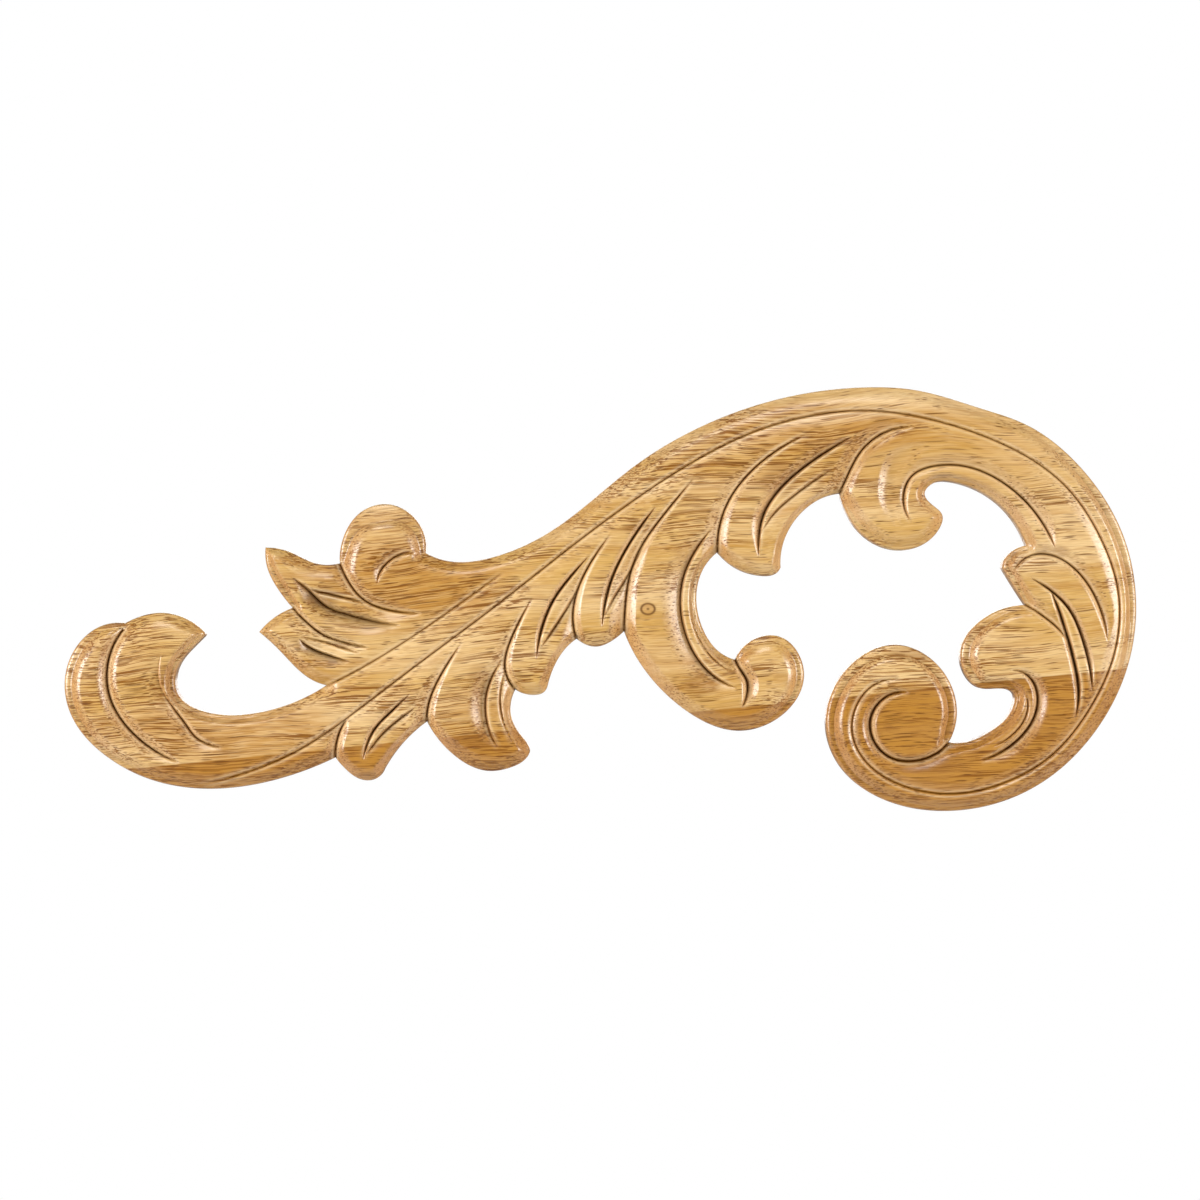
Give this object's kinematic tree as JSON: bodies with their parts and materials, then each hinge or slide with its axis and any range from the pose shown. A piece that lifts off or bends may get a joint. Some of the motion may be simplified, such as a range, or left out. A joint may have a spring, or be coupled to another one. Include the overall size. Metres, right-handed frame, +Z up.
{
  "type": "carved scroll applique",
  "caption": "Flat-backed wooden acanthus scroll applique with a hooked stem, carved leaves, a C curl and a large open volute.",
  "frame": {"origin": "middle of the flat back, which is glued to the furniture", "axes": "+X along the applique from the hook to the big scroll, +Y out of the back towards what it is glued on, +Z up"},
  "size_m": [0.24, 0.0082, 0.095],
  "materials": {
    "wood": "light honey hardwood, sanded and satin lacquered"
  },
  "bodies": {
    "root": {"scroll_applique": "wood"}
  },
  "joints": []
}
